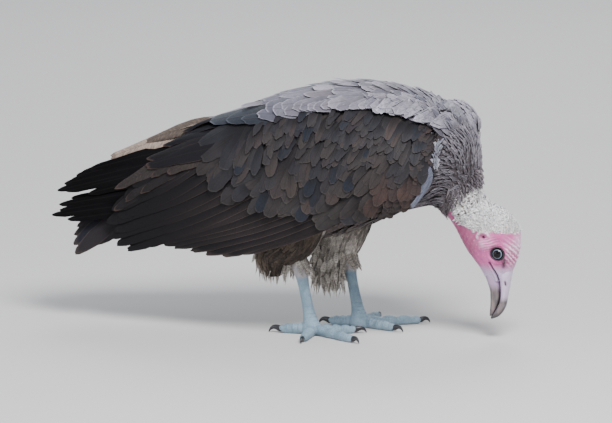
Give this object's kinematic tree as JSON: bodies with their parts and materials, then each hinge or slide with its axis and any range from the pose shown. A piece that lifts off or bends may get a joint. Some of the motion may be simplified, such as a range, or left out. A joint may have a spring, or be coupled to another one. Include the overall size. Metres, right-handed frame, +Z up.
{
  "type": "hooded vulture",
  "caption": "Life-size still model of a hooded vulture, standing with folded wings and its pink, bare-faced head bent down to the floor, for display.",
  "frame": {"origin": "centre of the bounding box in x and y, on the floor under the feet", "axes": "+X is the way the bird faces, from its tail towards its bill; +Y is its left side; +Z is up"},
  "size_m": [0.5764, 0.2042, 0.3096],
  "materials": {
    "plumage_dark": "dark grey-brown body and covert feathers with paler brown edges, matt with a faint sheen",
    "flight_black": "near-black primaries and tail feathers with a soft sheen",
    "mantle_pale": "bleached grey-brown scapular feathers with pale edges, matt",
    "down_white": "short curly whitish down with darker flecks, matt",
    "face_skin": "bare pink skin with pale wrinkles, slightly moist",
    "bill_horn": "lilac-white cere over grey-brown horn with a dark hooked tip",
    "trousers_brown": "ragged brown thigh feathers with tan streaks, matt",
    "leg_scale": "pale blue-grey scaled skin, dry",
    "claw_black": "black horn, semi-gloss",
    "eye_dark": "dark brown wet eye, glossy"
  },
  "bodies": {
    "root": {"trunk": "plumage_dark", "neck": "down_white", "head": "face_skin", "upper_bill": "bill_horn", "lower_bill": "bill_horn", "tail": "flight_black", "eye_left": "eye_dark", "scapulars_left": "mantle_pale", "wing_left_coverts": "plumage_dark", "wing_left_secondaries": "plumage_dark", "wing_left_tertials": "plumage_dark", "wing_left_primaries": "flight_black", "thigh_left": "trousers_brown", "tarsus_left": "leg_scale", "foot_left": "leg_scale", "toe_left_inner": "leg_scale", "claw_left_inner": "claw_black", "toe_left_middle": "leg_scale", "claw_left_middle": "claw_black", "toe_left_outer": "leg_scale", "claw_left_outer": "claw_black", "toe_left_hind": "leg_scale", "claw_left_hind": "claw_black", "eye_right": "eye_dark", "scapulars_right": "mantle_pale", "wing_right_coverts": "plumage_dark", "wing_right_secondaries": "plumage_dark", "wing_right_tertials": "plumage_dark", "wing_right_primaries": "flight_black", "thigh_right": "trousers_brown", "tarsus_right": "leg_scale", "foot_right": "leg_scale", "toe_right_inner": "leg_scale", "claw_right_inner": "claw_black", "toe_right_middle": "leg_scale", "claw_right_middle": "claw_black", "toe_right_outer": "leg_scale", "claw_right_outer": "claw_black", "toe_right_hind": "leg_scale", "claw_right_hind": "claw_black"}
  },
  "joints": []
}
